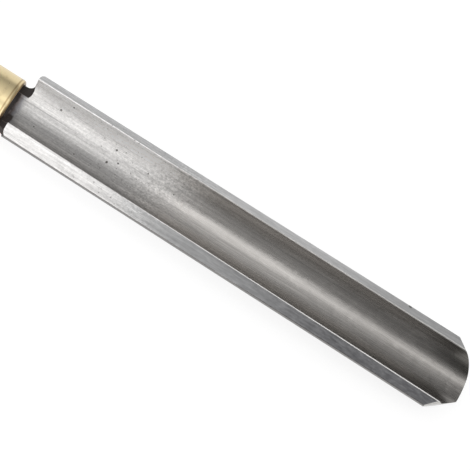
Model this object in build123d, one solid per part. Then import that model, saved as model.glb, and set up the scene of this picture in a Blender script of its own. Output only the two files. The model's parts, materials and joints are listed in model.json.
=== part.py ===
from build123d import *
import os
from math import asin, atan2, ceil, cos, degrees, hypot, pi, radians, sin, sqrt, tan

# Woodturning gouge: a rolled steel blade, a brass ferrule and a turned wooden handle.
# Working frame: x = 0 at the ferrule's front lip, on the handle's axis, with +X towards the
# cutting edge and +Z out of the open flute. The finished tool is then laid down as it rests.

# Blade length along the handle's axis
shoulder_x = 3.3
nose_x = 192.0

# Flute and wall, at the shoulders and at the nose
wall = 4.4
flute_r_back = 10.75
flute_r_nose = 12.1
flute_axis_z_back = 10.65
flute_axis_z_nose = 12.0
back_half_angle = 90.5
nose_half_angle = 77.0
back_land_slope = 35.8
nose_land_slope = 15.6
inner_edge_round = 0.3
outer_edge_round = 0.3

# Shoulders in plan: the outer round and the inner fillet are shares of the step down to the neck
shoulder_overlap = 0.15
shoulder_round_share = 0.435
neck_fillet_share = 0.455

# Neck between the shoulders and the handle: its walls are cut down to a sloping land on each side,
# and the cut runs a little way into the blade with a round end
neck_land_outer_z = 3.1
neck_land_slope = 19.0
neck_cut_inner_y = 5.8
neck_cut_reach = 0.6
neck_cut_r = 2.6

# Ground nose: the bevel angle, and the arc that the edge follows in side view
bevel_angle = 45.0
nose_arc_r = 22.5
nose_lean = 22.2
grind_limit_angle = 80.0
grind_step_angle = 20.0

# Flat ground on the wing at -Y: where it meets the flute, and how it turns and tips from square
flat_flute_angle = 22.1
flat_setback = 1.15
flat_turn_angle = 47.7
flat_tip_angle = 14.2

# Tang, from its root to its end, and the slope from its top down into the flute
tang_length = 68.0
tang_root_width = 9.0
tang_root_height = 6.0
tang_end_width = 4.5
tang_end_height = 3.6
tang_slope_length = 3.5

# Ferrule
ferrule_length = 28.0
ferrule_r = 11.6
ferrule_wall = 1.2
ferrule_lip_round = 1.1
ferrule_back_round = 0.3

# Handle
handle_length = 300.0
belly_x = -190.0
belly_r = 18.5
belly_curve_r = 2450.0
handle_front_round = 2.5
butt_round = 11.0
spigot_recess = 2.0

# Clearances
neck_fit = 0.12
ferrule_fit = 0.05
tang_fit = 0.1
tang_hole_extra = 2.0

# Margin by which a cutting shape passes the surface that it cuts, and the distance within
# which two corners are the same one
past = 1.0
same_place = 0.01


def across(x):
    """Plane square to the handle's axis at x, with y and z as its own two axes."""
    return Plane.YZ.offset(x)


def blade_share(x):
    """How far x lies from the shoulders (0) to the nose (1)."""
    return (x - shoulder_x) / (nose_x - shoulder_x)


def between(back, nose, x):
    """A size that changes evenly from the shoulders to the nose."""
    return back + (nose - back) * blade_share(x)


def flute_r(x):
    return between(flute_r_back, flute_r_nose, x)


def flute_axis_z(x):
    return between(flute_axis_z_back, flute_axis_z_nose, x)


def land_corners(x):
    """Inner and outer corner of the land on the +Y wall: it slopes from the flute to the back."""
    radius = flute_r(x)
    half_angle = radians(between(back_half_angle, nose_half_angle, x))
    slope = radians(between(back_land_slope, nose_land_slope, x))
    inner_y = radius * sin(half_angle)
    inner_drop = radius * cos(half_angle)
    along = inner_y * cos(slope) + inner_drop * sin(slope)
    width = -along + sqrt(along**2 + (radius + wall) ** 2 - radius**2)
    inner = (inner_y, flute_axis_z(x) - inner_drop)
    outer = (inner[0] + width * cos(slope), inner[1] - width * sin(slope))
    return inner, outer


def mirrored(point):
    return (-point[0], point[1])


def wall_section(x):
    """The rolled section at x: flute arc, back arc and the two sloping lands."""
    inner, outer = land_corners(x)
    floor_z = flute_axis_z(x) - flute_r(x)
    outline = [
        ThreePointArc(mirrored(outer), (0, floor_z - wall), outer),
        Line(outer, inner),
        ThreePointArc(inner, (0, floor_z), mirrored(inner)),
        Line(mirrored(inner), mirrored(outer)),
    ]
    face = make_face(outline)
    low_to_high = face.vertices().sort_by(Axis.Y)
    face = fillet(low_to_high[:2], outer_edge_round)
    low_to_high = face.vertices().sort_by(Axis.Y)
    return across(x) * fillet(low_to_high[-2:], inner_edge_round)


def rolled_wall():
    """The rolled wall, from behind the neck to past the nose, before it is cut and ground."""
    return loft([wall_section(-spigot_recess - past), wall_section(nose_x + past)], ruled=True)


def neck_half_width():
    """Half the neck's width: the corners of its lands just clear the ferrule's bore."""
    return sqrt((ferrule_r - ferrule_wall - neck_fit) ** 2 - neck_land_outer_z**2)


def plan_outline():
    """Shoulders and neck seen from above: rounded rear corners, and fillets down to the neck."""
    neck_half = neck_half_width()
    back_half = land_corners(shoulder_x)[1][0] + shoulder_overlap
    step = back_half - neck_half
    nose_half = land_corners(nose_x)[1][0] + shoulder_overlap
    far_x = nose_x + 2 * past
    body = Polyline(
        (shoulder_x, -back_half),
        (far_x, -nose_half),
        (far_x, nose_half),
        (shoulder_x, back_half),
        close=True,
    )
    blade_plan = make_face(body)
    rear_corners = blade_plan.vertices().sort_by(Axis.X)[:2]
    blade_plan = fillet(rear_corners, shoulder_round_share * step)
    neck_plan = Pos(shoulder_x, 0) * Rectangle(2 * (shoulder_x + spigot_recess), 2 * neck_half)
    plan = blade_plan + neck_plan
    at_shoulder = [v for v in plan.vertices() if abs(v.X - shoulder_x) < same_place]
    inside_corners = [v for v in at_shoulder if abs(abs(v.Y) - neck_half) < same_place]
    return fillet(inside_corners, neck_fillet_share * step)


def neck_cut():
    """What is cut off the wall at the neck on the +Y side: all that stands above the sloping land."""
    back_x = -spigot_recess - past
    centre_x = shoulder_x + neck_cut_reach - neck_cut_r
    centre_y = neck_cut_inner_y + neck_cut_r
    far_y = 2 * flute_r_nose
    inboard = Polyline(
        (back_x, neck_cut_inner_y),
        (centre_x, neck_cut_inner_y),
        (centre_x, far_y),
        (back_x, far_y),
        close=True,
    )
    outboard = Polyline(
        (back_x, centre_y),
        (shoulder_x, centre_y),
        (shoulder_x, far_y),
        (back_x, far_y),
        close=True,
    )
    plan = make_face(inboard) + make_face(outboard) + Pos(centre_x, centre_y) * Circle(neck_cut_r)
    rise = tan(radians(neck_land_slope))
    edge_y = neck_half_width()
    near_y = neck_cut_inner_y - past
    top_z = flute_axis_z(shoulder_x) + wall
    above_land = Polyline(
        (near_y, neck_land_outer_z + (near_y - edge_y) * rise),
        (far_y, neck_land_outer_z + (far_y - edge_y) * rise),
        (far_y, top_z),
        (near_y, top_z),
        close=True,
    )
    run = shoulder_x + neck_cut_reach + past - back_x
    return extrude(plan, top_z) & extrude(across(back_x) * make_face(above_land), run)


def tang_slope():
    """The slope from the tang's top down into the flute's floor, in the ferrule's mouth."""
    end_x = tang_slope_length - spigot_recess
    low_z = flute_axis_z(end_x) - flute_r(end_x) - past
    side = Polyline(
        (end_x, low_z),
        (-spigot_recess, tang_root_height / 2),
        (-spigot_recess, low_z),
        close=True,
    )
    return extrude(Plane.XZ * make_face(side), tang_root_width / 2, both=True)


def edge_setback(angle):
    """Distance of the cutting edge behind the nose, at an angle round the flute from its floor."""
    height = flute_r(nose_x) * (1 - cos(angle))
    lean = radians(nose_lean)
    turned = asin(min(1.0, sin(lean) + height / nose_arc_r))
    return nose_arc_r * (cos(lean) - cos(turned))


def ground_outline(x):
    """Where the bevel's surface crosses the plane at x: the steel inside this outline stays."""
    centre_z = flute_axis_z(nose_x)
    steps = ceil(2 * grind_limit_angle / grind_step_angle)
    path = []
    for step in range(steps + 1):
        angle = radians(grind_limit_angle) * (2 * step / steps - 1)
        reach = flute_r(nose_x) + (nose_x - x - edge_setback(angle)) * tan(radians(bevel_angle))
        path.append((reach * sin(angle), centre_z - reach * cos(angle)))
    top_z = centre_z + wall
    sides = Polyline(path[-1], (path[-1][0], top_z), (path[0][0], top_z), path[0])
    return across(x) * make_face([Spline(*path), sides])


def nose_waste():
    """The steel that grinding takes off the nose, outside the bevel's surface."""
    front_x = nose_x + past
    back_x = nose_x - 2 * wall - edge_setback(radians(grind_limit_angle))
    kept = loft([ground_outline(front_x), ground_outline(back_x)], ruled=True)
    block = Pos((front_x + back_x) / 2, 0, 0) * Box(front_x - back_x, 6 * flute_r_nose, 6 * flute_r_nose)
    end_block = Pos(front_x + past, 0, 0) * Box(2 * past, 6 * flute_r_nose, 6 * flute_r_nose)
    return block - kept + end_block


def wing_waste():
    """The steel in front of the flat that is ground on the wing at -Y."""
    angle = radians(flat_flute_angle)
    meets = (
        nose_x - flat_setback,
        -flute_r(nose_x) * sin(angle),
        flute_axis_z(nose_x) - flute_r(nose_x) * cos(angle),
    )
    turn = radians(flat_turn_angle)
    tip = radians(flat_tip_angle)
    normal = (cos(tip) * cos(turn), -cos(tip) * sin(turn), -sin(tip))
    size = 6 * flute_r_nose
    return Plane(origin=meets, z_dir=normal) * Pos(0, 0, size / 2) * Box(size, size, size)


def tang_shape(grow, extra):
    """Square-cornered taper of the tang, or with an allowance of its hole in the handle."""
    root = across(-spigot_recess) * Rectangle(tang_root_width + 2 * grow, tang_root_height + 2 * grow)
    end_x = -spigot_recess - tang_length - extra
    end = across(end_x) * Rectangle(tang_end_width + 2 * grow, tang_end_height + 2 * grow)
    return loft([end, root], ruled=True)


def make_blade():
    plan = extrude(plan_outline(), 4 * flute_r_nose, both=True)
    body = (rolled_wall() & plan) - neck_cut() - mirror(neck_cut(), about=Plane.XZ)
    return body - nose_waste() - wing_waste() + tang_slope() + tang_shape(0, 0)


def make_ferrule():
    """Drawn tube, its front lip rolled over."""
    tube = Pos(-ferrule_length / 2, 0, 0) * Rot(0, 90, 0) * Cylinder(ferrule_r, ferrule_length)
    tube = fillet(tube.edges().sort_by(Axis.X)[-1], ferrule_lip_round)
    tube = fillet(tube.edges().sort_by(Axis.X)[0], ferrule_back_round)
    bore = Pos(-ferrule_length / 2, 0, 0) * Rot(0, 90, 0) * Cylinder(
        ferrule_r - ferrule_wall, ferrule_length + past
    )
    return tube - bore


def handle_r(x):
    """Radius of the handle's long belly at x: one large arc with its crest at belly_x."""
    return belly_r - belly_curve_r + sqrt(belly_curve_r**2 - (x - belly_x) ** 2)


def make_handle():
    """Turned handle: spigot, rounded front, long belly and domed butt with a small flat."""
    front_x = -ferrule_length
    butt_x = front_x - handle_length
    spigot_r = ferrule_r - ferrule_wall - ferrule_fit
    body = [
        Line((butt_x, 0), (butt_x, handle_r(butt_x))),
        ThreePointArc((butt_x, handle_r(butt_x)), (belly_x, belly_r), (front_x, handle_r(front_x))),
        Line((front_x, handle_r(front_x)), (front_x, 0)),
        Line((front_x, 0), (butt_x, 0)),
    ]
    wood = revolve(Plane.XZ * make_face(body), Axis.X)
    wood = fillet(wood.edges().sort_by(Axis.X)[-1], handle_front_round)
    wood = fillet(wood.edges().sort_by(Axis.X)[0], butt_round)
    spigot_length = ferrule_length - spigot_recess
    spigot = Pos(front_x + spigot_length / 2, 0, 0) * Rot(0, 90, 0) * Cylinder(spigot_r, spigot_length)
    return wood + spigot - tang_shape(tang_fit, tang_hole_extra)


def rest_pitch():
    """Angle at which the tool lies, in degrees: on the heel of its bevel and on its belly."""
    heel_x = nose_x - wall / tan(radians(bevel_angle))
    heel_z = flute_axis_z(heel_x) - flute_r(heel_x) - wall
    to_x = belly_x - heel_x
    to_z = belly_curve_r - belly_r - heel_z
    tangent = atan2(to_z, to_x) + asin(belly_curve_r / hypot(to_x, to_z))
    return degrees(tangent - pi)


def laid_down(pieces):
    """The pieces turned to the angle of rest and set on z = 0, centred in x and y."""
    tipped = {name: Rot(0, rest_pitch(), 0) * piece for name, piece in pieces.items()}
    box = Compound(children=[piece.solid() for piece in tipped.values()]).bounding_box()
    middle = box.center()
    place = Pos(-middle.X, 0, -box.min.Z)
    return {name: place * piece for name, piece in tipped.items()}


def main():
    pieces = {"blade": make_blade(), "ferrule": make_ferrule(), "handle": make_handle()}
    os.makedirs("parts", exist_ok=True)
    for name, piece in laid_down(pieces).items():
        export_step(piece.solid(), "parts/" + name + ".step")


main()
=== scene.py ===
import json
from functools import reduce
from math import asin, cos, degrees, pi, radians, sin
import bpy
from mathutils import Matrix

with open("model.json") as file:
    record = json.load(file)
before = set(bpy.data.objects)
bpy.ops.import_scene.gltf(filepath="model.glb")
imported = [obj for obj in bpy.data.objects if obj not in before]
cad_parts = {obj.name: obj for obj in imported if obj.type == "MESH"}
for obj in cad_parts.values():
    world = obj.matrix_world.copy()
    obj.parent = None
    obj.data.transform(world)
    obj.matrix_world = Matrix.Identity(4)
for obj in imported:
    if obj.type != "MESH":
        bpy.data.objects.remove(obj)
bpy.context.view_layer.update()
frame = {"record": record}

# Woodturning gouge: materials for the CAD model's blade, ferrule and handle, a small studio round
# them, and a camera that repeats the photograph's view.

from types import SimpleNamespace

import bpy
from mathutils import Matrix, Vector

MM = 0.001
DEGREES = degrees(1.0)


def axes(x, y, z, origin):
    """Matrix of the frame with these three axes and this origin."""
    matrix = Matrix((x, y, z)).transposed().to_4x4()
    matrix.translation = origin
    return matrix


# The tool's own frame: origin at the ferrule's lip on the handle's axis, +X towards the cutting
# edge, +Z out of the flute. The part lies tipped, and the butt's mount gives its place and tip.
BUTT_TO_LIP = 328.0
MOUNTS = {mount["name"]: mount for mount in frame["record"]["mounts"]}
ALONG = -Vector(MOUNTS["butt"]["axis"]).normalized()
ACROSS = Vector((0, 1, 0))
OUT = ALONG.cross(ACROSS)
LIP = Vector(MOUNTS["butt"]["pos_m"]) + BUTT_TO_LIP * MM * ALONG
TOOL = axes(ALONG, ACROSS, OUT, LIP)


def in_tool(x, y, z):
    """Point given in the tool's own frame in mm, in the scene's metres."""
    return TOOL @ (Vector((x, y, z)) * MM)


# Blade's section in mm: pairs are at the shoulders and at the nose
SHOULDER_X = 3.3
NOSE_X = 192.0
FLUTE_R = (10.75, 12.1)
FLUTE_AXIS_Z = (10.65, 12.0)
INNER_CORNER_Y = (10.75, 11.79)
INNER_CORNER_Z = (10.74, 9.28)
WALL = 4.4
NECK_CUT_X = 3.9
# Outline of the cutting edge seen from the side: radius in mm and sine of its lean at the floor
NOSE_ARC_R = 22.5
NOSE_LEAN_SINE = 0.378


def add_object(name, data):
    """New object with this data, put into the scene."""
    new = bpy.data.objects.new(name, data)
    bpy.context.collection.objects.link(new)
    return new


# Camera: turns in degrees, lengths in mm, the photograph's measures in pixels
VIEW_ROLL = 30.15
VIEW_YAW = -1.33
PICTURE_TURN = 32.455
AIM_X = 92.39
AIM_UP = 5.21
DISTANCE = 768.0
FOCAL_PX = 2134.0
PICTURE_PX = 470.0
SENSOR_MM = 36.0
CLIP_START_M = 0.01
CLIP_END_M = 20.0


def make_camera():
    """Camera over the flute's near side, with the tool running down to the right."""
    roll = radians(VIEW_ROLL)
    yaw = radians(VIEW_YAW)
    turn = radians(PICTURE_TURN)
    along = Vector((1, 0, 0))
    towards = Vector((0, -sin(roll), cos(roll)))
    upward = Vector((0, cos(roll), sin(roll)))
    back = cos(yaw) * towards + sin(yaw) * along
    side = cos(yaw) * along - sin(yaw) * towards
    right = cos(turn) * side + sin(turn) * upward
    up = -sin(turn) * side + cos(turn) * upward
    target = along * AIM_X + upward * AIM_UP
    data = bpy.data.cameras.new("camera")
    data.sensor_fit = "HORIZONTAL"
    data.sensor_width = SENSOR_MM
    data.lens = SENSOR_MM * FOCAL_PX / PICTURE_PX
    data.clip_start = CLIP_START_M
    data.clip_end = CLIP_END_M
    camera = add_object("camera", data)
    camera.matrix_world = TOOL @ axes(right, up, back, (target + DISTANCE * back) * MM)
    bpy.context.scene.camera = camera


# Sockets of a Mix node that hold colours
MIX_A = 6
MIX_B = 7
MIX_RESULT = 2
NOISE_MIDDLE = 0.5


class Nodes:
    """Short calls for building a node tree. They take sockets or numbers and give sockets."""

    def __init__(self, tree):
        self.tree = tree
        tree.nodes.clear()

    def node(self, kind, values=None, **settings):
        """New node with these settings, and values for its sockets by name or by number."""
        new = self.tree.nodes.new(kind)
        for key, value in settings.items():
            setattr(new, key, value)
        for key, value in (values or {}).items():
            self.set(new.inputs[key], value)
        return new

    def set(self, socket, value):
        """Links a socket to another one, or writes a number, vector or opaque colour to it."""
        if isinstance(value, bpy.types.NodeSocket):
            self.tree.links.new(value, socket)
        elif socket.type == "RGBA":
            socket.default_value = (*value, 1.0)
        else:
            socket.default_value = value

    def math(self, operation, *values):
        new = self.node("ShaderNodeMath", dict(enumerate(values)), operation=operation)
        return new.outputs[0]

    def chain(self, operation, values):
        """The operation on the first two values, then on its result and each further value."""
        return reduce(lambda a, b: self.math(operation, a, b), values)

    def add(self, *values):
        return self.chain("ADD", values)

    def mul(self, *values):
        return self.chain("MULTIPLY", values)

    def high(self, *values):
        return self.chain("MAXIMUM", values)

    def sub(self, a, b):
        return self.math("SUBTRACT", a, b)

    def less(self, value, share=1.0):
        """1 less a share of value."""
        return self.sub(1.0, self.mul(value, share))

    def around(self, noise, amount, middle=1.0):
        """Middle plus amount times what noise has above its own middle."""
        return self.add(self.mul(self.sub(noise, NOISE_MIDDLE), amount), middle)

    def between(self, share, ends):
        """What lies this share of the way from the first end to the second."""
        return self.add(self.mul(share, ends[1] - ends[0]), ends[0])

    def length(self, a, b):
        return self.math("SQRT", self.add(self.mul(a, a), self.mul(b, b)))

    def dot(self, vector, axis):
        new = self.node("ShaderNodeVectorMath", {0: vector, 1: axis}, operation="DOT_PRODUCT")
        return new.outputs["Value"]

    def cross(self, vector, axis):
        new = self.node("ShaderNodeVectorMath", {0: vector, 1: axis}, operation="CROSS_PRODUCT")
        return new.outputs[0]

    def ramp(self, value, low, high, to_low=0.0, to_high=1.0, smooth=True):
        """Value from low to high becomes to_low to to_high, clamped at both ends."""
        values = {"Value": value, "From Min": low, "From Max": high,
                  "To Min": to_low, "To Max": to_high}
        kind = "SMOOTHSTEP" if smooth else "LINEAR"
        new = self.node("ShaderNodeMapRange", values, interpolation_type=kind, clamp=True)
        return new.outputs["Result"]

    def mix(self, factor, a, b):
        """Colour a where factor is 0 and colour b where it is 1."""
        new = self.node("ShaderNodeMix", {0: factor, MIX_A: a, MIX_B: b}, data_type="RGBA")
        return new.outputs[MIX_RESULT]

    def tint(self, colour, brightness):
        """Colour times a number."""
        grey = self.node("ShaderNodeCombineColor", dict.fromkeys(range(3), brightness))
        values = {0: 1.0, MIX_A: colour, MIX_B: grey.outputs[0]}
        new = self.node("ShaderNodeMix", values, data_type="RGBA", blend_type="MULTIPLY")
        return new.outputs[MIX_RESULT]

    def noise(self, vector, stretch, scale, detail, rough):
        """Noise pattern, drawn out along each axis where stretch is small."""
        place = self.node("ShaderNodeMapping", {"Vector": vector, "Scale": stretch}).outputs[0]
        values = {"Vector": place, "Scale": scale, "Detail": detail, "Roughness": rough}
        return self.node("ShaderNodeTexNoise", values).outputs[0]

    def patterns(self, vector, table):
        """Noise patterns by their names in the table."""
        made = {name: self.noise(vector, *pattern) for name, pattern in table.items()}
        return SimpleNamespace(**made)

    def spots(self, vector, scale):
        """Distance to the nearest of many scattered points."""
        new = self.node("ShaderNodeTexVoronoi", {"Vector": vector, "Scale": scale})
        return new.outputs["Distance"]

    def bump(self, height, distance, strength, under=None):
        """Normal of this relief, laid over another relief's normal where there is one."""
        values = {"Height": height, "Distance": distance, "Strength": strength}
        if under is not None:
            values["Normal"] = under
        return self.node("ShaderNodeBump", values).outputs[0]


def tool_position(n):
    """Shader position in the tool's own frame in mm: the vector and its x, y and z."""
    back = TOOL.inverted()
    values = {"Vector": n.node("ShaderNodeTexCoord").outputs["Object"],
              "Location": back.translation / MM,
              "Rotation": back.to_euler(),
              "Scale": (1 / MM, 1 / MM, 1 / MM)}
    vector = n.node("ShaderNodeMapping", values, vector_type="POINT").outputs[0]
    parts = n.node("ShaderNodeSeparateXYZ", {"Vector": vector}).outputs
    return vector, parts["X"], parts["Y"], parts["Z"]


def new_material(name):
    """New material and the calls for its empty node tree."""
    material = bpy.data.materials.new(name)
    material.use_nodes = True
    return material, Nodes(material.node_tree)


def finish_material(n, looks):
    """Principled surface with these values for its sockets."""
    shader = n.node("ShaderNodeBsdfPrincipled", looks)
    n.node("ShaderNodeOutputMaterial", {"Surface": shader.outputs[0]})


STEEL = (0.5, 0.48, 0.46)
STEEL_NOSE_SHADED = (0.33, 0.315, 0.3)
STEEL_DULL = (0.36, 0.353, 0.346)
STEEL_DULL_LIT = (0.88, 0.862, 0.845)
STEEL_EDGE_SHADE = (0.1, 0.096, 0.088)
LAND = (0.5, 0.5, 0.5)
LAND_DULL_LIT = (0.62, 0.61, 0.6)
LAND_DARKENED = (0.12, 0.12, 0.125)
EDGE_HIGHLIGHT = (0.95, 0.93, 0.91)
BACK_PAINTED_SHADE = (0.15, 0.14, 0.135)
BEVEL = (0.5, 0.49, 0.475)
SCALE_AND_SHADOW_BLACK = (0.05, 0.042, 0.039)
SCALE_WORN = (0.13, 0.12, 0.115)
HEAT_BROWN = (0.16, 0.13, 0.125)
HEAT_BLUE = (0.2, 0.2, 0.215)
PIT = (0.06, 0.055, 0.05)

# Noise patterns of the blade: stretch along x, y and z, then scale, detail and roughness
EVEN = (1.0, 1.0, 1.0)
STEEL_PATTERNS = {
    "coarse_brushing": ((0.01, 1.0, 1.0), 1.2, 4.0, 0.7),
    "fine_brushing": ((0.03, 1.0, 1.0), 4.5, 3.0, 0.6),
    "bands": ((0.03, 0.3, 0.3), 1.0, 2.0, 0.5),
    "specks": (EVEN, 1.7, 3.0, 0.7),
    "grit": ((0.7, 1.0, 1.0), 1.4, 4.0, 0.8),
    "clouds": (EVEN, 0.5, 3.0, 0.6),
    "blotches": ((0.3, 1.0, 1.0), 1.1, 4.0, 0.65),
}

# Zones of the blade: each pair is where a zone begins and where it is full. X, Y and Z are places
# in the tool's frame, INNER_EDGE is a distance from the land's inner edge and a skin is one from
# the flute's surface, all in mm. Facing is the X part of the surface's normal.
NEAR_Y = (0.4, -0.4)
INNER_EDGE = (0.55, 0.35)
FLUTE_SKIN = (0.24, 0.12)
BACK_SKIN = (WALL - 0.13, WALL - 0.07)
BEVEL_FACING = (0.4, 0.5)
REAR_FACING = (-0.35, -0.6)
NECK_X = (SHOULDER_X + 0.05, SHOULDER_X - 0.05)
NECK_CUT_END_X = (NECK_CUT_X + 0.1, NECK_CUT_X)
NECK_CUT_TOP_Z = (7.2, 7.0)
NECK_CUT_SIDE_Y = (10.3, 10.1)


class BladePlace:
    """Where a shaded point lies on the blade, as sockets: its place and its zones from 0 to 1."""

    def __init__(self, n):
        self.vector, self.x, self.y, self.z = tool_position(n)
        self.normal = n.node("ShaderNodeNewGeometry").outputs["Normal"]
        facing = n.node("ShaderNodeSeparateXYZ", {"Vector": self.normal}).outputs["X"]
        side_y = n.math("ABSOLUTE", self.y)
        share = n.mul(n.sub(self.x, SHOULDER_X), 1 / (NOSE_X - SHOULDER_X))
        below_axis = n.sub(n.between(share, FLUTE_AXIS_Z), self.z)
        skin = n.sub(n.length(self.y, below_axis), n.between(share, FLUTE_R))
        past_corner_y = n.sub(side_y, n.between(share, INNER_CORNER_Y))
        past_corner_z = n.sub(self.z, n.between(share, INNER_CORNER_Z))

        # Degrees round the flute from its floor, positive up the far wall
        self.swing = n.mul(n.math("ARCTAN2", self.y, below_axis), DEGREES)
        self.to_edge = self.distance_to_edge(n)
        self.near = n.ramp(self.y, *NEAR_Y)
        self.inner_edge = n.ramp(n.length(past_corner_y, past_corner_z), *INNER_EDGE)
        self.flute = n.ramp(skin, *FLUTE_SKIN)
        self.back = n.ramp(skin, *BACK_SKIN)
        not_flute = n.less(self.flute)
        self.bevel = n.mul(n.ramp(facing, *BEVEL_FACING), not_flute)
        self.land = n.mul(not_flute, n.less(self.back), n.less(self.bevel))
        cut = n.mul(n.ramp(self.x, *NECK_CUT_END_X), n.ramp(self.z, *NECK_CUT_TOP_Z),
                    n.ramp(side_y, *NECK_CUT_SIDE_Y))
        neck = n.mul(n.high(n.ramp(self.x, *NECK_X), cut), not_flute)
        self.neck = n.high(neck, n.ramp(facing, *REAR_FACING))

    def distance_to_edge(self, n):
        """Distance along the tool from the point to the rounded, leaning cutting edge, in mm."""
        centre_x = NOSE_X - NOSE_ARC_R * cos(asin(NOSE_LEAN_SINE))
        sine = n.add(n.mul(self.z, 1 / NOSE_ARC_R), NOSE_LEAN_SINE)
        cosine = n.math("SQRT", n.less(n.mul(sine, sine)))
        return n.sub(n.add(n.mul(cosine, NOSE_ARC_R), centre_x), self.x)


# Pits in the flute: x in mm, swing round the flute from its floor in degrees, radius in mm, and
# the share of the radius within which each is full
PITS = ((15.6, 52.6, 0.55), (40.2, 43.8, 0.5), (43.1, 24.2, 0.45), (39.4, 14.8, 0.6),
        (19.2, 72.7, 0.45), (54.2, 37.9, 0.4), (28.0, -8.0, 0.35), (66.0, 30.0, 0.35),
        (10.6, -3.9, 0.35))
PIT_FLOOR = 0.4
# Nick in the outer edge of the far land: x, y and z, and its radius, in mm
NICK = (159.7, 15.4, 8.3)
NICK_R = 0.95
NICK_FLOOR = 0.5
# Small scattered pits: scale of the scatter, size and choice of them, where they set in and end
SCATTER = 0.6
SCATTER_SIZE = (0.25, 0.09)
SCATTER_CHOICE = (0.49, 0.57)
SCATTER_START_X = (14.0, 45.0)
SCATTER_END_X = (88.0, 40.0)
SCATTER_DEPTH = 0.8

# Marks of age, and painted light and shade, on the blade, as pairs like those of its zones, with
# swings in degrees
FAR_WALL_SWING = (0.0, 62.0)
HIGH_WALL_SWING = (46.0, 62.0)
DULL_X = (76.0, 40.0)
DULL_RAGGED = 16.0
DULL_SLANT = 10.0
BORDER_PEAK = 4.0
# Painted shade behind the cutting edge: swing and distance to the edge where it begins and is full
EDGE_SHADE_SWING = (25.0, 45.0)
EDGE_SHADE_TO_EDGE = (22.0, 3.0)
DARK_LINE_SWING = 31.5
DARK_LINE_WIDTH = (1.6, 0.4)
DARK_LINE_X = (26.0, 26.0 / 3)
NEAR_WALL_SHADE_SWING = (-12.0, -26.0)
NEAR_LAND_DARK_X = (40.0, 150.0)
EDGE_HIGHLIGHT_ON_FAR = 0.5
EDGE_HIGHLIGHT_LOSS_DULL = 0.7
# Black scale and heat tints beside the neck, and a painted shadow across the flute at the
# ferrule's mouth
SCALE_RAGGED = 1.6
SCALE_NEAR_SWING = (-7.0, -12.0)
SCALE_NEAR_X = (3.1, 2.4)
MOUTH_SHADOW_X = (0.9, 0.1)
HEAT_RAGGED = 3.0
HEAT_X = (4.1, 1.4)
HEAT_BLUE_X = (0.6, 2.0)


class BladeWearAndLight:
    """Marks of age, and painted light and shade, at a shaded point of the blade, as sockets from 0
    to 1.
    """

    def __init__(self, n, at, noise):
        self.far_wall = n.ramp(at.swing, *FAR_WALL_SWING, smooth=False)
        # Dull finish of the handle end, which the polish of use has worn away towards the nose,
        # and the ragged border between the two, with its peak brought to 1
        dull_x = n.around(noise.clouds, DULL_RAGGED, at.x)
        dull_x = n.sub(dull_x, n.mul(self.far_wall, DULL_SLANT))
        self.dull = n.mul(n.ramp(dull_x, *DULL_X), n.high(at.flute, at.land))
        self.border = n.mul(self.dull, n.less(self.dull), BORDER_PEAK)
        # Painted light: the top of the far wall, made lighter in the dull finish
        self.high_wall_painted_light = n.mul(self.dull, at.flute, n.ramp(at.swing, *HIGH_WALL_SWING))
        # Painted shade: the far wall darkened behind the far half of the cutting edge
        self.edge_painted_shade = n.mul(n.ramp(at.swing, *EDGE_SHADE_SWING), n.ramp(at.to_edge, *EDGE_SHADE_TO_EDGE))
        # A darker line along the far wall near the handle end
        from_crease = n.math("ABSOLUTE", n.sub(at.swing, DARK_LINE_SWING))
        self.far_wall_dark_line = n.mul(n.ramp(from_crease, *DARK_LINE_WIDTH), n.ramp(at.x, *DARK_LINE_X), at.flute)
        # Painted shade: the lower part of the near wall darkened
        self.near_wall_painted_shade = n.mul(n.ramp(at.swing, *NEAR_WALL_SHADE_SWING), at.flute)
        self.near_land_darkening = n.mul(at.near, n.ramp(at.x, *NEAR_LAND_DARK_X))
        # Painted highlight along the land's inner edge, fainter on the far side and in the dull
        # finish
        on_side = n.add(n.mul(at.near, 1.0 - EDGE_HIGHLIGHT_ON_FAR), EDGE_HIGHLIGHT_ON_FAR)
        self.edge_highlight = n.mul(at.inner_edge, on_side, n.less(self.dull, EDGE_HIGHLIGHT_LOSS_DULL))
        self.pits = self.all_pits(n, at, noise)
        scale_x = n.around(noise.clouds, SCALE_RAGGED, at.x)
        near_wall = n.mul(n.ramp(at.swing, *SCALE_NEAR_SWING), n.ramp(scale_x, *SCALE_NEAR_X))
        # Painted shadow across the flute at the ferrule's mouth, and black scale up the near wall
        on_flute = n.mul(at.flute, n.high(n.ramp(scale_x, *MOUTH_SHADOW_X), near_wall))
        self.black = n.high(at.neck, on_flute)
        self.heat_x = n.around(noise.clouds, HEAT_RAGGED, at.x)
        self.heat = n.mul(n.ramp(self.heat_x, *HEAT_X), at.flute)

    def all_pits(self, n, at, noise):
        """Scattered small pits, the larger ones at their own places, and the nick."""
        pits = n.mul(n.ramp(n.spots(at.vector, SCATTER), *SCATTER_SIZE),
                     n.ramp(noise.specks, *SCATTER_CHOICE), n.ramp(at.x, *SCATTER_END_X),
                     n.ramp(at.x, *SCATTER_START_X), SCATTER_DEPTH)
        for x, swing, size in PITS:
            round_by = n.mul(n.sub(at.swing, swing), FLUTE_R[0] / DEGREES)
            pit = n.ramp(n.length(n.sub(at.x, x), round_by), size, size * PIT_FLOOR)
            pits = n.high(pits, n.mul(pit, at.flute))
        from_nick = n.length(n.length(n.sub(at.x, NICK[0]), n.sub(at.y, NICK[1])),
                             n.sub(at.z, NICK[2]))
        return n.high(pits, n.ramp(from_nick, NICK_R, NICK_R * NICK_FLOOR))


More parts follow.
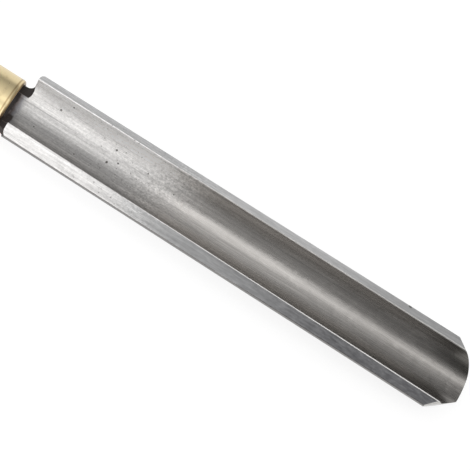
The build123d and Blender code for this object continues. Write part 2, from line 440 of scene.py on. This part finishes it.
# Strength of each thing in the blade's colour, brightness, roughness and metal look
NOSE_SHADE_X = (90.0, 200.0)
EDGE_SHADE_COLOUR = 0.8
NEAR_LAND_DARK_BLOTCHES = (0.75, 0.35, 0.85, 1.0)
HEAT_COLOUR = 0.85
SCALE_WORN_SPECKS = (0.6, 0.72)
PIT_COLOUR = 0.85
TONE_COARSE = 0.9
TONE_FINE = 0.7
TONE_BANDS = 0.3
TONE_BLOTCHES = 0.6
TONE_DARK_LINE = 0.3
TONE_NEAR_WALL_SHADE = 0.26
TONE_HIGH_WALL_LIGHT = 0.12
GRIT_POLISHED = 0.25
GRIT_DULL = 0.75
GRIT_BORDER = 1.7
GRIT_LOSS_LAND = 0.4
ROUGH = 0.23
ROUGH_BRUSHING = 0.08
ROUGH_DULL = 0.08
ROUGH_OUTSIDE = 0.06
ROUGH_BLACK = 0.25
METAL_LOSS_BLACK = 0.7
METAL_LOSS_FAR_WALL = 0.4
METAL_LOSS_EDGE_HIGHLIGHT = 0.6
STEEL_ANISOTROPY = 0.45
# Reliefs: height in metres and strength
BRUSHED_RELIEF = (0.00002, 0.6)
BRUSHED_FINE = 0.35
PIT_RELIEF = (0.00012, 0.8)
SPECK_RELIEF = (0.00003, 0.5)


def steel_tone(n, at, noise, wear_and_light):
    """Brightness of the blade round 1: brushing, grit, marks, and painted light and shade."""
    grit = n.add(n.mul(wear_and_light.dull, GRIT_DULL), n.mul(wear_and_light.border, GRIT_BORDER), GRIT_POLISHED)
    grit = n.mul(grit, n.less(at.land, GRIT_LOSS_LAND))
    return n.mul(n.around(noise.coarse_brushing, TONE_COARSE),
                 n.around(noise.fine_brushing, TONE_FINE),
                 n.around(noise.bands, TONE_BANDS),
                 n.around(noise.grit, grit),
                 n.around(noise.blotches, n.mul(at.land, TONE_BLOTCHES)),
                 n.less(wear_and_light.far_wall_dark_line, TONE_DARK_LINE),
                 n.less(wear_and_light.near_wall_painted_shade, TONE_NEAR_WALL_SHADE),
                 n.add(n.mul(wear_and_light.high_wall_painted_light, TONE_HIGH_WALL_LIGHT), 1.0))


def steel_colour(n, at, noise, wear_and_light):
    """Colour of each zone with its painted light and shade, then the brightness, the heat tints,
    the black scale and the pits.
    """
    # Painted shade: the flute darker towards the nose
    flute = n.mix(n.ramp(at.x, *NOSE_SHADE_X, smooth=False), STEEL, STEEL_NOSE_SHADED)
    # Painted light: the dull finish made lighter up the far wall, a lit copy of its colour
    flute = n.mix(wear_and_light.dull, flute, n.mix(wear_and_light.far_wall, STEEL_DULL, STEEL_DULL_LIT))
    # Painted shade on the far wall behind the cutting edge
    flute = n.mix(n.mul(wear_and_light.edge_painted_shade, EDGE_SHADE_COLOUR), flute, STEEL_EDGE_SHADE)
    # Painted light: the near land made lighter where the finish is dull
    land = n.mix(n.mul(wear_and_light.dull, at.near), LAND, LAND_DULL_LIT)
    # The near land darker towards the nose, in blotches
    near_land_darkening = n.mul(wear_and_light.near_land_darkening, n.ramp(noise.blotches, *NEAR_LAND_DARK_BLOTCHES))
    land = n.mix(near_land_darkening, land, LAND_DARKENED)
    colour = n.mix(at.land, flute, land)
    # Painted shade: the outer back of the blade darkened
    colour = n.mix(at.back, colour, BACK_PAINTED_SHADE)
    colour = n.mix(at.bevel, colour, BEVEL)
    # Painted highlight on the land's inner edge
    colour = n.mix(wear_and_light.edge_highlight, colour, EDGE_HIGHLIGHT)
    colour = n.tint(colour, steel_tone(n, at, noise, wear_and_light))
    heat_tint = n.mix(n.ramp(wear_and_light.heat_x, *HEAT_BLUE_X), HEAT_BROWN, HEAT_BLUE)
    colour = n.mix(n.mul(wear_and_light.heat, HEAT_COLOUR), colour, heat_tint)
    scale = n.mix(n.ramp(noise.specks, *SCALE_WORN_SPECKS), SCALE_AND_SHADOW_BLACK, SCALE_WORN)
    # Black scale, and the painted shadow at the ferrule's mouth
    colour = n.mix(wear_and_light.black, colour, scale)
    return n.mix(n.mul(wear_and_light.pits, PIT_COLOUR), colour, PIT)


def steel_relief(n, noise, wear_and_light):
    """Normal of the blade: brushing, then pits, then the grain of the dull and the black."""
    brushing = n.add(n.mul(noise.fine_brushing, BRUSHED_FINE),
                     n.mul(noise.coarse_brushing, 1.0 - BRUSHED_FINE))
    relief = n.bump(brushing, *BRUSHED_RELIEF)
    relief = n.bump(n.less(wear_and_light.pits), *PIT_RELIEF, relief)
    grain = n.mul(noise.specks, n.high(wear_and_light.dull, wear_and_light.black))
    return n.bump(grain, *SPECK_RELIEF, relief)


def steel_material():
    """Blade: brushed flute, dull and pitted at the handle end, ground lands, black neck, painted
    light and shade.
    """
    material, n = new_material("blade_steel")
    at = BladePlace(n)
    noise = n.patterns(at.vector, STEEL_PATTERNS)
    wear_and_light = BladeWearAndLight(n, at, noise)
    rough = n.add(n.mul(noise.fine_brushing, ROUGH_BRUSHING), ROUGH,
                  n.mul(wear_and_light.dull, ROUGH_DULL),
                  n.mul(n.high(at.back, at.land), ROUGH_OUTSIDE),
                  n.mul(wear_and_light.black, ROUGH_BLACK))
    metallic = n.less(wear_and_light.black, METAL_LOSS_BLACK)
    metallic = n.sub(metallic, n.mul(wear_and_light.dull, wear_and_light.far_wall, at.flute, METAL_LOSS_FAR_WALL))
    metallic = n.sub(metallic, n.mul(wear_and_light.edge_highlight, METAL_LOSS_EDGE_HIGHLIGHT))
    finish_material(n, {"Base Color": steel_colour(n, at, noise, wear_and_light),
                        "Metallic": metallic,
                        "Roughness": rough,
                        "Normal": steel_relief(n, noise, wear_and_light),
                        "Anisotropic": STEEL_ANISOTROPY,
                        "Tangent": n.cross(at.normal, ALONG)})
    return material


BRASS = (0.76, 0.63, 0.375)
BRASS_DARK = (0.25, 0.15, 0.06)
BRASS_PATTERNS = {
    "turning": ((3.0, 0.05, 0.05), 2.0, 3.0, 0.6),
    "clouds": (EVEN, 0.35, 3.0, 0.55),
    "specks": (EVEN, 2.0, 2.0, 0.6),
}
# Tarnish: where each stretch of it begins and is full, and the strength of each
GROOVE_REAR_X = (-2.0, -1.7)
GROOVE_FRONT_X = (-1.1, -1.4)
GROOVE_TARNISH = 0.6
LIP_X = (-0.9, -0.3)
LIP_TARNISH = 0.8
CLOUDED = (0.55, 0.8)
CLOUD_TARNISH = 0.3
BRASS_TONE_TURNING = 0.12
BRASS_ROUGH = 0.24
BRASS_ROUGH_CLOUDS = 0.12
TURNING_RELIEF = (0.00001, 0.5)
BRASS_SPECK_RELIEF = (0.00001, 0.3)


def brass_material():
    """Ferrule: polished brass with fine turning lines, and tarnish on its lip and behind it."""
    material, n = new_material("ferrule_brass")
    vector, x = tool_position(n)[:2]
    noise = n.patterns(vector, BRASS_PATTERNS)
    groove = n.mul(n.ramp(x, *GROOVE_REAR_X), n.ramp(x, *GROOVE_FRONT_X))
    tarnish = n.high(n.mul(n.ramp(noise.clouds, *CLOUDED), CLOUD_TARNISH),
                     n.mul(groove, GROOVE_TARNISH),
                     n.mul(n.ramp(x, *LIP_X), LIP_TARNISH))
    colour = n.mix(tarnish, BRASS, BRASS_DARK)
    colour = n.tint(colour, n.around(noise.turning, BRASS_TONE_TURNING))
    relief = n.bump(noise.turning, *TURNING_RELIEF)
    finish_material(n, {"Base Color": colour,
                        "Metallic": 1.0,
                        "Roughness": n.add(n.mul(noise.clouds, BRASS_ROUGH_CLOUDS), BRASS_ROUGH),
                        "Normal": n.bump(noise.specks, *BRASS_SPECK_RELIEF, relief)})
    return material


WOOD_LIGHT = (0.52, 0.33, 0.17)
WOOD_DARK = (0.3, 0.16, 0.07)
WOOD_PORE = (0.12, 0.06, 0.03)
WOOD_PATTERNS = {
    "wander": ((0.012, 0.05, 0.05), 1.0, 3.0, 0.5),
    "uneven": ((0.006, 0.11, 0.11), 1.0, 2.0, 0.5),
    "fibres": ((0.02, 1.0, 1.0), 2.6, 4.0, 0.7),
    "pores": ((0.035, 1.0, 1.0), 4.2, 2.0, 0.5),
    "turning": ((1.0, 0.02, 0.02), 2.0, 2.0, 0.5),
}
# Growth rings: place and slope of the tree's heart in the tool's frame in mm, and what turns the
# rings by angle, in radians per mm and in radians
HEART_Y = -9.0
HEART_Z = -30.0
HEART_SLOPE = 0.02
RING_WANDER = 14.0
RING_TURNS = 1.45
RING_UNEVEN = 9.0
RING_BAND = (-0.5, 1.0)
BAND_STRENGTH = (0.3, 0.62, 0.35, 1.0)
PORE_CHOICE = (0.62, 0.72)
PORE_BAND = (0.2, 0.8)
PORE_COLOUR = 0.8
WOOD_TONE_FIBRES = 0.5
WOOD_ROUGH = 0.34
WOOD_ROUGH_FIBRES = 0.15
FIBRE_HEIGHT = 0.4
FIBRE_RELIEF = (0.00012, 0.5)
TURNED_RELIEF = (0.00004, 0.3)
OIL_COAT = 0.25
OIL_ROUGH = 0.2


def wood_material():
    """Handle: ash-like grain running lengthwise, open pores and fine turning marks under oil."""
    material, n = new_material("handle_wood")
    vector, x, y, z = tool_position(n)
    noise = n.patterns(vector, WOOD_PATTERNS)
    across = n.add(n.sub(y, HEART_Y), n.mul(noise.wander, RING_WANDER))
    depth = n.add(n.sub(z, HEART_Z), n.mul(x, HEART_SLOPE))
    turns = n.add(n.mul(n.length(across, depth), RING_TURNS), n.mul(noise.uneven, RING_UNEVEN))
    band = n.mul(n.ramp(n.math("SINE", turns), *RING_BAND),
                 n.ramp(noise.uneven, *BAND_STRENGTH))
    pores = n.mul(n.ramp(noise.pores, *PORE_CHOICE), n.ramp(band, *PORE_BAND))
    colour = n.mix(band, WOOD_LIGHT, WOOD_DARK)
    colour = n.tint(colour, n.around(noise.fibres, WOOD_TONE_FIBRES))
    colour = n.mix(n.mul(pores, PORE_COLOUR), colour, WOOD_PORE)
    relief = n.bump(n.sub(n.mul(noise.fibres, FIBRE_HEIGHT), pores), *FIBRE_RELIEF)
    finish_material(n, {"Base Color": colour,
                        "Metallic": 0.0,
                        "Roughness": n.add(n.mul(noise.fibres, WOOD_ROUGH_FIBRES), WOOD_ROUGH),
                        "Normal": n.bump(noise.turning, *TURNED_RELIEF, relief),
                        "Coat Weight": OIL_COAT,
                        "Coat Roughness": OIL_ROUGH})
    return material


def dress(node, material):
    """Gives a CAD node its one material."""
    slots = bpy.data.objects[node].data.materials
    slots.clear()
    slots.append(material)


WHITE = (1.0, 1.0, 1.0)
FLOOR_HALF_M = 3.0
FLOOR_WHITE = (0.8, 0.8, 0.8)
# Where the camera sees it, the floor is a grey that takes the shadow and a glow that adds up to
# white with it
FLOOR_SHADE = (0.25, 0.25, 0.25)
FLOOR_GLOW = 0.84


def seen_directly(n):
    """1 for rays from the camera, off polished surfaces and through clear ones."""
    path = n.node("ShaderNodeLightPath").outputs
    return n.high(path["Is Camera Ray"], path["Is Transmission Ray"], path["Is Glossy Ray"])


def floor_material():
    """White where it is seen, but for the shadow, and plain matt where it lights the tool."""
    material, n = new_material("floor_white")
    matt = n.node("ShaderNodeBsdfDiffuse", {"Color": FLOOR_WHITE})
    shade = n.node("ShaderNodeBsdfDiffuse", {"Color": FLOOR_SHADE})
    glow = n.node("ShaderNodeEmission", {"Strength": FLOOR_GLOW})
    lit = n.node("ShaderNodeAddShader", {0: shade.outputs[0], 1: glow.outputs[0]})
    values = {0: seen_directly(n), 1: matt.outputs[0], 2: lit.outputs[0]}
    pick = n.node("ShaderNodeMixShader", values)
    n.node("ShaderNodeOutputMaterial", {"Surface": pick.outputs[0]})
    return material


def make_floor():
    """Square floor under the tool."""
    mesh = bpy.data.meshes.new("floor")
    corners = [(-FLOOR_HALF_M, -FLOOR_HALF_M, 0), (FLOOR_HALF_M, -FLOOR_HALF_M, 0),
               (FLOOR_HALF_M, FLOOR_HALF_M, 0), (-FLOOR_HALF_M, FLOOR_HALF_M, 0)]
    mesh.from_pydata(corners, [], [(0, 1, 2, 3)])
    mesh.materials.append(floor_material())
    floor = add_object("floor", mesh)


# Softbox on the near side of the handle end: y and z of its two long sides in the tool's frame and
# its reach along the tool, in mm, and its radiance
BOX_LOW = (-188.0, -2.0)
BOX_HIGH = (-83.0, 140.0)
BOX_ALONG = (-200.0, 55.0)
BOX_RADIANCE = 1.3


def make_softbox():
    """Rectangle of light that faces the tool's handle end from the near side."""
    low = in_tool(BOX_ALONG[0], *BOX_LOW)
    high = in_tool(BOX_ALONG[0], *BOX_HIGH)
    rise = high - low
    upward = rise.normalized()
    length = (BOX_ALONG[1] - BOX_ALONG[0]) * MM
    light = bpy.data.lights.new("softbox", "AREA")
    light.shape = "RECTANGLE"
    light.size = length
    light.size_y = rise.length
    light.energy = BOX_RADIANCE * pi * length * rise.length
    box = add_object("softbox", light)
    middle = (low + high) / 2 + ALONG * length / 2
    box.matrix_world = axes(ALONG, upward, ALONG.cross(upward), middle)


# Studio light by direction: each pair is where a light begins and where it is full. Lean is in
# degrees, from straight out of the flute towards the near side, and the rest are parts of the
# direction: along the tool, across it, and up.
CANOPY_FAR_LEAN = (-62.0, 6.0)
CANOPY_NEAR_LEAN = (32.0, 4.0)
STRIP_FAR_LEAN = (-4.0, 15.0)
STRIP_NEAR_LEAN = (34.0, 15.0)
CARD_LEAN = (28.0, 44.0)
NOSE_ALONG = (0.09, 0.15)
ENDS_ALONG = (0.35, 0.65)
FAR_ACROSS = (-0.1, 0.1)
FAR_HORIZON_UP = (0.56, 0.26)
NEAR_HORIZON_UP = (0.3, 0.12)
# Radiance of each light. Towards the nose the soft ones lose a share and the strip gains.
FILL = 0.28
CANOPY = 0.9
CARD = 0.14
STRIP = 0.72
ENDS = 0.45
NOSE_LOSS_SOFT = 0.75
NOSE_GAIN_STRIP = 0.5


def make_world():
    """Studio round the tool: a canopy that fades to the far side, a bright strip along the tool,
    a faint card on the near side, lit ends and a white horizon."""
    world = bpy.data.worlds.new("studio")
    bpy.context.scene.world = world
    world.use_nodes = True
    n = Nodes(world.node_tree)
    direction = n.node("ShaderNodeTexCoord").outputs["Generated"]
    along = n.dot(direction, ALONG)
    across = n.dot(direction, ACROSS)
    out = n.dot(direction, OUT)
    up = n.dot(direction, Vector((0, 0, 1)))
    lean = n.mul(n.math("ARCTAN2", n.mul(across, -1.0), out), DEGREES)
    nose = n.ramp(along, *NOSE_ALONG, smooth=False)
    canopy = n.mul(n.ramp(lean, *CANOPY_FAR_LEAN, smooth=False),
                   n.ramp(lean, *CANOPY_NEAR_LEAN))
    soft = n.mul(n.add(n.mul(canopy, CANOPY), FILL), n.less(nose, NOSE_LOSS_SOFT))
    card = n.mul(n.ramp(lean, *CARD_LEAN), CARD, n.less(nose))
    strip = n.mul(n.ramp(lean, *STRIP_FAR_LEAN), n.ramp(lean, *STRIP_NEAR_LEAN),
                  n.add(n.mul(nose, NOSE_GAIN_STRIP), STRIP))
    ends = n.mul(n.ramp(n.math("ABSOLUTE", along), *ENDS_ALONG), ENDS)
    far = n.ramp(across, *FAR_ACROSS)
    horizon = n.add(n.mul(n.ramp(up, *FAR_HORIZON_UP), far),
                    n.mul(n.ramp(up, *NEAR_HORIZON_UP), n.less(far)))
    glow = n.high(n.add(soft, card, strip, ends), horizon)
    sky = n.node("ShaderNodeBackground", {"Color": WHITE, "Strength": glow})
    n.node("ShaderNodeOutputWorld", {"Surface": sky.outputs[0]})


def main():
    bpy.context.scene.view_settings.view_transform = "Standard"
    make_camera()
    make_world()
    make_softbox()
    make_floor()
    dress("blade", steel_material())
    dress("ferrule", brass_material())
    dress("handle", wood_material())


main()
